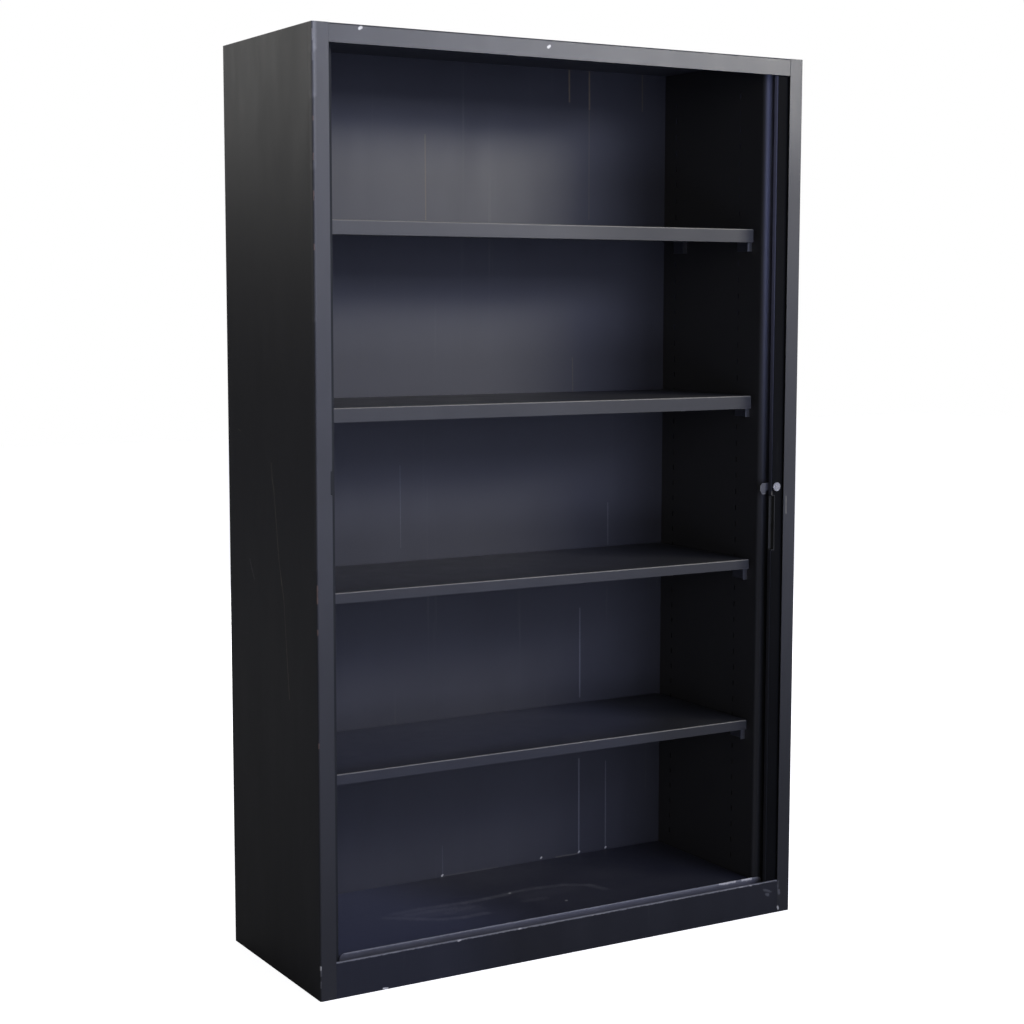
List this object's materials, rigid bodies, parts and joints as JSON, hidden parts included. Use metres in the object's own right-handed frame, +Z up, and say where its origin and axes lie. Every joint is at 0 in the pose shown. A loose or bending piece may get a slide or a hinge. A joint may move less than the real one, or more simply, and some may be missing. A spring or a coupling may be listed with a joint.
{
  "type": "tambour door cabinet",
  "caption": "Tall steel storage cabinet with a sideways-running tambour door parked open at the right, clip-hung shelves and a hook lock on the door's stile.",
  "frame": {"origin": "middle of the footprint, on the floor", "axes": "+Z up, -Y towards the open front, +X towards the jamb where the door is parked"},
  "size_m": [1.22, 0.457, 1.98],
  "materials": {
    "painted_steel": "satin powder coat, near-black anthracite with a blue cast",
    "zinc_steel": "zinc plated, slightly dull",
    "black_plastic": "fine matt extrusion",
    "nickel": "nickel plated, lightly scratched",
    "canvas": "plain woven canvas",
    "rubber": "matt black"
  },
  "bodies": {
    "cabinet": {"left_side_panel": "painted_steel", "right_side_panel": "painted_steel", "top_panel": "painted_steel", "plinth": "painted_steel", "base_tray": "painted_steel", "floor_pan": "painted_steel", "front_upstand": "painted_steel", "left_liner": "painted_steel", "right_liner": "painted_steel", "inner_back": "painted_steel", "outer_back": "painted_steel", "shelf_1": "painted_steel", "shelf_2": "painted_steel", "shelf_3": "painted_steel", "shelf_4": "painted_steel", "back_screws": "zinc_steel", "shelf_clips_1": "zinc_steel", "shelf_clips_2": "zinc_steel", "shelf_clips_3": "zinc_steel", "shelf_clips_4": "zinc_steel", "keeper_plate": "zinc_steel", "keeper_screws": "zinc_steel", "low_track_front": "black_plastic", "low_track_rear": "black_plastic", "high_track_front": "black_plastic", "high_track_rear": "black_plastic", "slats_front_bend": "black_plastic", "slats_side_run": "black_plastic", "slats_rear_bend": "black_plastic", "slats_rear_run": "black_plastic", "curtain_end_bar": "black_plastic", "curtain_stop": "black_plastic", "curtain_canvas": "canvas", "closing_buffers": "rubber"},
    "door": {"leading_stile": "black_plastic", "finger_pull": "black_plastic", "stile_top_guide": "black_plastic", "stile_foot_guide": "black_plastic", "lock_barrel": "nickel"},
    "lock": {"lock_plug": "nickel", "hook_cam": "nickel", "cam_screw": "zinc_steel"}
  },
  "joints": [
    {"name": "door_slide", "type": "slide", "parent": "cabinet", "child": "door", "axis": [-1, 0, 0], "range_m": [0, 1.116]},
    {"name": "lock_turn", "type": "hinge", "parent": "door", "child": "lock", "pos_m": [0.557, -0.2105, 1.011], "axis": [0, 1, 0], "range_deg": [-10, 90]}
  ]
}
